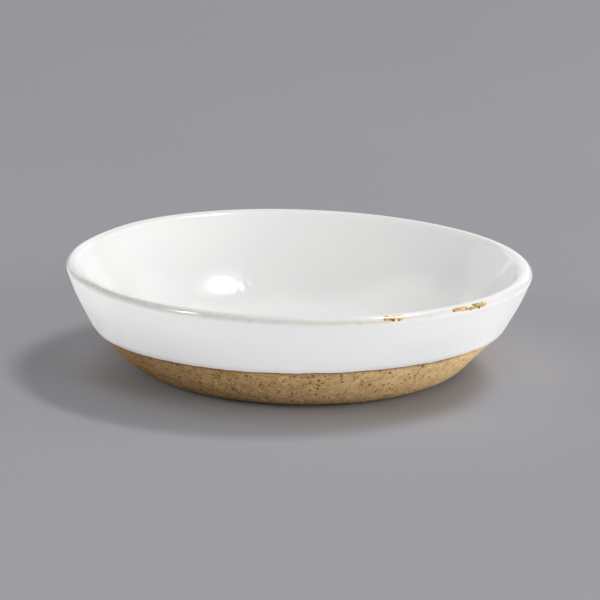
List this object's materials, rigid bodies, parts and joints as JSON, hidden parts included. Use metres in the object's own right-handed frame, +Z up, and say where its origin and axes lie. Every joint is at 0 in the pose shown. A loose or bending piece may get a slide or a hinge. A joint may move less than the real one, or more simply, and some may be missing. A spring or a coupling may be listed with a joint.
{
  "type": "ramekin",
  "caption": "Shallow round stoneware ramekin with a flared wall, rounded lip and flat foot, white glaze inside and part-way down the outside, and bare speckled clay below.",
  "frame": {"origin": "centre of the flat foot, in the plane that the dish stands on", "axes": "+Z up along the axis that the dish was turned about, out of its mouth; -Y towards the viewer of the picture, +X to the viewer's right"},
  "size_m": [0.114, 0.114, 0.0265],
  "materials": {
    "stoneware": "matte",
    "inside_white_glaze": "gloss",
    "outside_white_glaze": "gloss"
  },
  "bodies": {
    "root": {"stoneware_body": "stoneware", "inside_glaze": "inside_white_glaze", "outside_glaze": "outside_white_glaze"}
  },
  "joints": []
}
